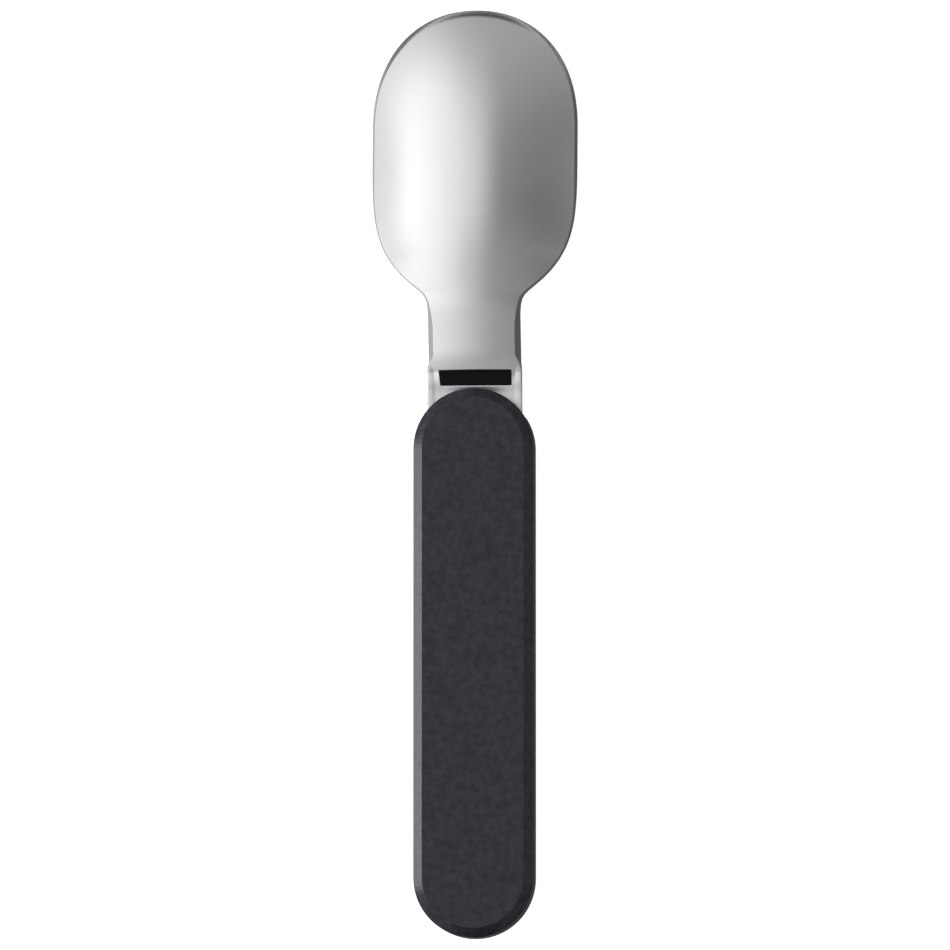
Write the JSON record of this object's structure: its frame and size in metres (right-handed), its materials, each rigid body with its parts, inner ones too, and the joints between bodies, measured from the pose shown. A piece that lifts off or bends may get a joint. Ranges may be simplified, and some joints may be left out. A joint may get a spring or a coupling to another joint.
{
  "type": "folding spoon",
  "caption": "Folding spoon with a stainless steel bowl, a slotted channel neck and a flat black round-ended handle that the blade folds over.",
  "frame": {"origin": "Centre of the spoon's outline, on the surface that it lies on face down: the front of the handle and the tip of the bowl are at z = 0.", "axes": "+Y runs along the spoon from the handle to the tip of the bowl, +X goes across it, and +Z points out of its back."},
  "size_m": [0.0354, 0.16, 0.0106],
  "materials": {
    "steel": "satin",
    "spring_steel": "satin",
    "black_plastic": "matte",
    "black_nylon": "matte",
    "washer_nylon": "matte"
  },
  "bodies": {
    "handle": {"handle_back_shell": "black_plastic", "handle_front_shell": "black_plastic", "hinge_pin": "spring_steel", "hinge_washer_left": "washer_nylon", "hinge_washer_right": "washer_nylon", "detent_spring": "spring_steel"},
    "blade": {"spoon_blade": "steel", "hinge_knuckle": "black_nylon"}
  },
  "joints": [
    {"name": "fold", "type": "hinge", "parent": "handle", "child": "blade", "pos_m": [0, 0.00615, 0.0021], "axis": [-1, 0, 0], "range_deg": [0, 176]}
  ]
}
